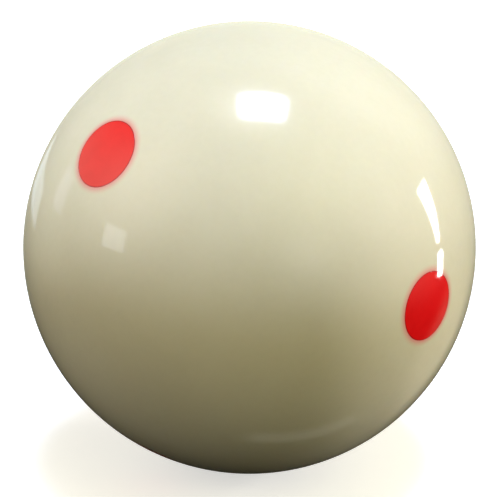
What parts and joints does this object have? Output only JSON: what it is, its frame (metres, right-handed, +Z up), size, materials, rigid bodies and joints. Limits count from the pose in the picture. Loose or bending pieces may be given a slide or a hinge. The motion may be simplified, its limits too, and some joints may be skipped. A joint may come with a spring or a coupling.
{
  "type": "cue ball",
  "caption": "Solid cream pool cue ball with six round red inlaid spots, one at each end of three crossing axes.",
  "frame": {"origin": "centre of the ball", "axes": "+Z up, away from the point the ball rests on; -Y is the front, where two of the six spots face the viewer; +X is to the viewer's right"},
  "size_m": [0.0572, 0.0572, 0.0572],
  "materials": {
    "cream_resin": "cast phenolic resin, polished",
    "red_resin": "cast phenolic resin, polished flush with the ball"
  },
  "bodies": {
    "root": {"ball_body": "cream_resin", "front_left_spot": "red_resin", "front_right_spot": "red_resin", "top_spot": "red_resin", "back_right_spot": "red_resin", "back_left_spot": "red_resin", "bottom_spot": "red_resin"}
  },
  "joints": []
}
